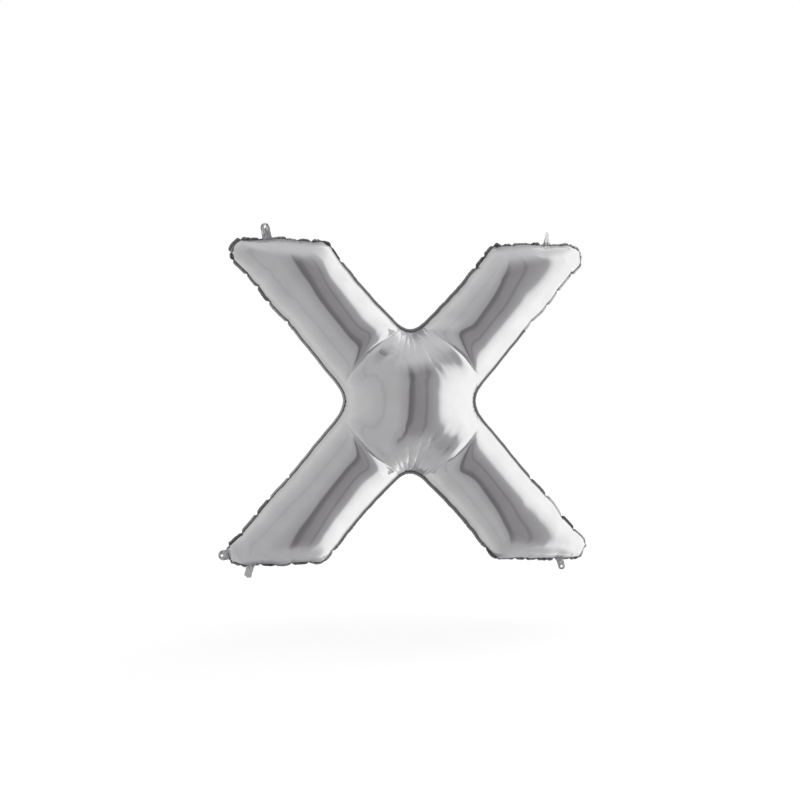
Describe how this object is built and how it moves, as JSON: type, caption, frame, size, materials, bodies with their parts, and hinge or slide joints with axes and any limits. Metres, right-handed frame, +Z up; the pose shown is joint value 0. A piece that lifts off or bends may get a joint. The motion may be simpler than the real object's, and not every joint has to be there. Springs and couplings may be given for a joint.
{
  "type": "letter foil balloon",
  "caption": "Inflated letter X balloon of two silver film panels with a welded border, punched hanging tabs and a filling tail.",
  "frame": {"origin": "the middle of the balloon, in the plane of the welded edge, where the air holds it", "axes": "+Z up through the top notch of the letter, +X to the right of the letter as read, -Y out of the front panel"},
  "size_m": [1.0038, 0.2958, 0.9472],
  "materials": {
    "silver_film": "mirror-bright metallised film, tight and finely wrinkled at the seam",
    "welded_edge": "satin heat-crimped double film",
    "clear_film": "translucent valve film"
  },
  "bodies": {
    "root": {"front_foil_panel": "silver_film", "back_foil_panel": "silver_film", "seam_border": "welded_edge", "hanging_tab_top_left": "welded_edge", "hanging_tab_top_right": "welded_edge", "hanging_tab_bottom_left": "welded_edge", "hanging_tab_bottom_right": "welded_edge", "valve_tail_front_ply": "welded_edge", "valve_tail_back_ply": "welded_edge", "valve_film": "clear_film"}
  },
  "joints": []
}
